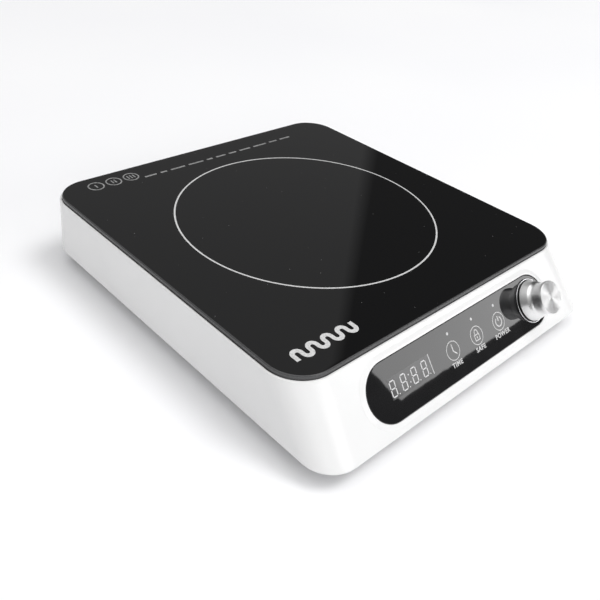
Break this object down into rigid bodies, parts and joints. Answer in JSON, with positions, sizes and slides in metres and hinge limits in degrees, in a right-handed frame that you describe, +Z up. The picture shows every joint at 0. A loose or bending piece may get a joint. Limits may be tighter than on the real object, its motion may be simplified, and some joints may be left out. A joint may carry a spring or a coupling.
{
  "type": "portable induction cooktop",
  "caption": "Square portable induction cooktop with a black glass plate, a sloping front touch panel and a turning metal knob, with coil, fan and power board inside.",
  "frame": {"origin": "middle of the object's box, on the surface that it stands on", "axes": "+Z up, -Y out of the control panel's side (the front), +X to the right seen from the front"},
  "size_m": [0.2878, 0.3261, 0.058],
  "materials": {
    "white_abs": "gloss",
    "grey_abs": "satin",
    "black_ceramic_glass": "polished",
    "silicone": "matte",
    "black_rubber": "matte",
    "zinc_steel": "zinc plated",
    "black_acrylic": "gloss",
    "circuit_board": "satin",
    "epoxy_black": "satin",
    "clear_epoxy": "clear",
    "brass": "satin",
    "spun_aluminium": "spun",
    "chrome": "polished",
    "black_pbt": "moulded",
    "litz_copper": "varnished wire",
    "mica": "pressed sheet",
    "aluminium": "extruded",
    "capacitor_blue": "gloss",
    "ferrite": "sintered",
    "ribbon": "satin"
  },
  "bodies": {
    "body": {"upper_housing": "white_abs", "base_tray": "grey_abs", "glass_plate": "black_ceramic_glass", "glass_seal": "silicone", "foot_front_left": "black_rubber", "foot_front_right": "black_rubber", "foot_rear_left": "black_rubber", "foot_rear_right": "black_rubber", "housing_screw_front_left": "zinc_steel", "housing_screw_front_right": "zinc_steel", "housing_screw_rear_left": "zinc_steel", "housing_screw_rear_right": "zinc_steel", "cord_gland": "black_rubber", "panel_lens": "black_acrylic", "control_board": "circuit_board", "board_screw_left": "zinc_steel", "board_screw_right": "zinc_steel", "display_module": "epoxy_black", "touch_spring_1": "zinc_steel", "touch_spring_2": "zinc_steel", "touch_spring_3": "zinc_steel", "indicator_led_1": "clear_epoxy", "indicator_led_2": "clear_epoxy", "indicator_led_3": "clear_epoxy", "encoder_body": "epoxy_black", "encoder_nut": "brass", "knob_ring": "chrome", "coil_former": "black_pbt", "induction_coil": "litz_copper", "mica_sheet": "mica", "temperature_sensor": "silicone", "coil_screw_1": "zinc_steel", "coil_screw_2": "zinc_steel", "coil_screw_3": "zinc_steel", "coil_screw_4": "zinc_steel", "fan_frame": "black_pbt", "fan_stator": "litz_copper", "power_board": "circuit_board", "igbt": "epoxy_black", "bridge_rectifier": "epoxy_black", "heatsink": "aluminium", "resonant_capacitor": "capacitor_blue", "filter_capacitor": "epoxy_black", "choke_coil": "litz_copper", "transformer": "ferrite", "fuse": "clear_epoxy", "coil_lead_inner": "silicone", "coil_lead_outer": "silicone", "fan_lead": "silicone", "ribbon_cable": "ribbon", "ferrite_bar_1": "ferrite", "ferrite_bar_2": "ferrite", "ferrite_bar_3": "ferrite", "ferrite_bar_4": "ferrite", "ferrite_bar_5": "ferrite", "ferrite_bar_6": "ferrite"},
    "knob": {"knob": "spun_aluminium", "encoder_shaft": "zinc_steel"},
    "fan": {"fan_rotor": "black_pbt", "fan_shaft": "zinc_steel"}
  },
  "joints": [
    {"name": "knob_turn", "type": "hinge", "parent": "body", "child": "knob", "pos_m": [0.07825, -0.1413, 0.03407], "axis": [0, -0.7742, 0.6329], "continuous": true},
    {"name": "fan_spin", "type": "hinge", "parent": "body", "child": "fan", "pos_m": [-0.075, 0.07715, 0], "axis": [0, 0, 1], "continuous": true}
  ]
}
